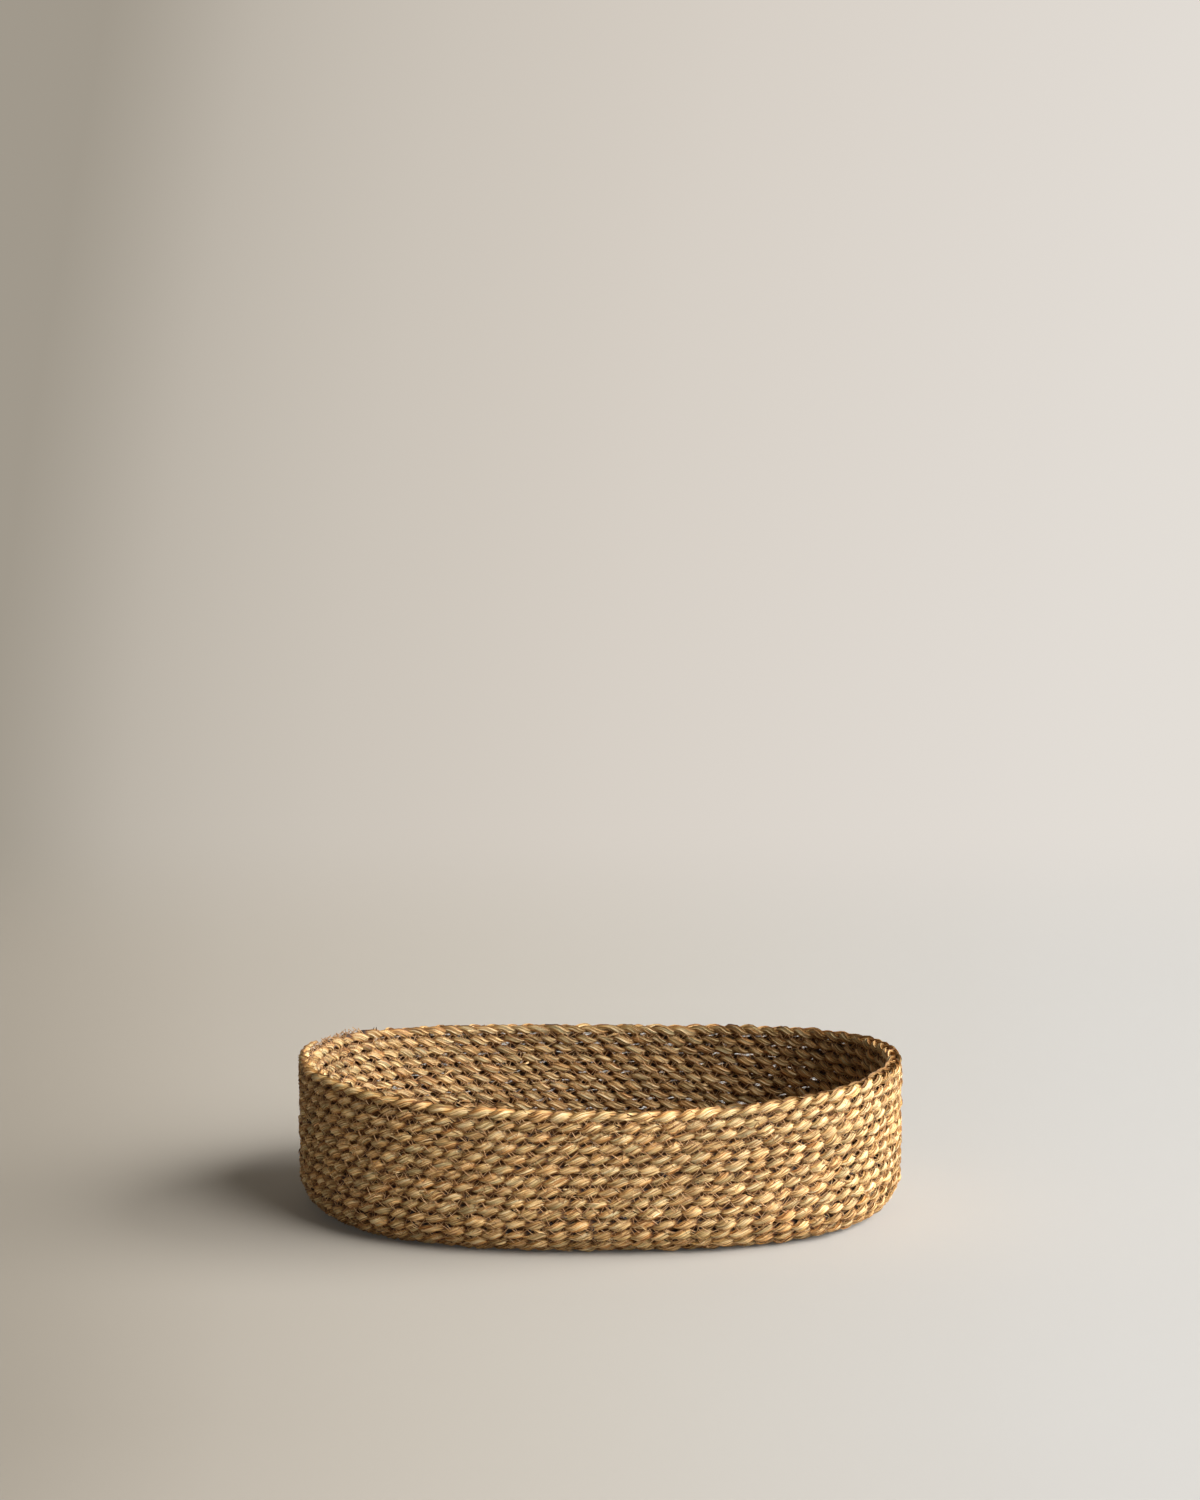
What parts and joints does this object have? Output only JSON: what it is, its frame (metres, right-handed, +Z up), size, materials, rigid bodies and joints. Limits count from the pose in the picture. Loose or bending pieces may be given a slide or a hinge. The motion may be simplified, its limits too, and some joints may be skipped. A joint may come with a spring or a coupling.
{
  "type": "oval seagrass basket",
  "caption": "Low oval open-top basket coiled and sewn from one flat plait of dried seagrass, with straight sides, a rounded heel and a rim a little higher at the ends.",
  "frame": {"origin": "on the floor under the middle of the basket", "axes": "+X along the basket's length, +Y across it towards the back, +Z up through the open top"},
  "size_m": [0.45, 0.31, 0.1151],
  "materials": {
    "seagrass_base": "dried seagrass plait, matt with a slight waxy sheen",
    "seagrass_heel": "dried seagrass plait, matt with a slight waxy sheen",
    "seagrass_wall": "dried seagrass plait, matt with a slight waxy sheen",
    "seagrass_rim": "dried seagrass plait, matt with a slight waxy sheen",
    "sewing_thread": "thin twisted natural-fibre sewing thread"
  },
  "bodies": {
    "root": {"base_centre_run": "seagrass_base", "base_course_01": "seagrass_base", "base_course_02": "seagrass_base", "base_course_03": "seagrass_base", "base_course_04": "seagrass_base", "base_course_05": "seagrass_base", "base_course_06": "seagrass_base", "base_course_07": "seagrass_base", "base_course_08": "seagrass_base", "base_course_09": "seagrass_base", "base_course_10": "seagrass_base", "base_course_11": "seagrass_base", "base_course_12": "seagrass_base", "base_course_13": "seagrass_base", "base_course_14": "seagrass_base", "base_course_15": "seagrass_base", "base_course_16": "seagrass_base", "heel_course_01": "seagrass_heel", "heel_course_02": "seagrass_heel", "heel_course_03": "seagrass_heel", "heel_course_04": "seagrass_heel", "heel_course_05": "seagrass_heel", "wall_course_01": "seagrass_wall", "wall_course_02": "seagrass_wall", "wall_course_03": "seagrass_wall", "wall_course_04": "seagrass_wall", "wall_course_05": "seagrass_wall", "wall_course_06": "seagrass_wall", "wall_course_07": "seagrass_wall", "wall_course_08": "seagrass_wall", "wall_course_09": "seagrass_wall", "rim_course": "seagrass_rim"}
  },
  "joints": []
}
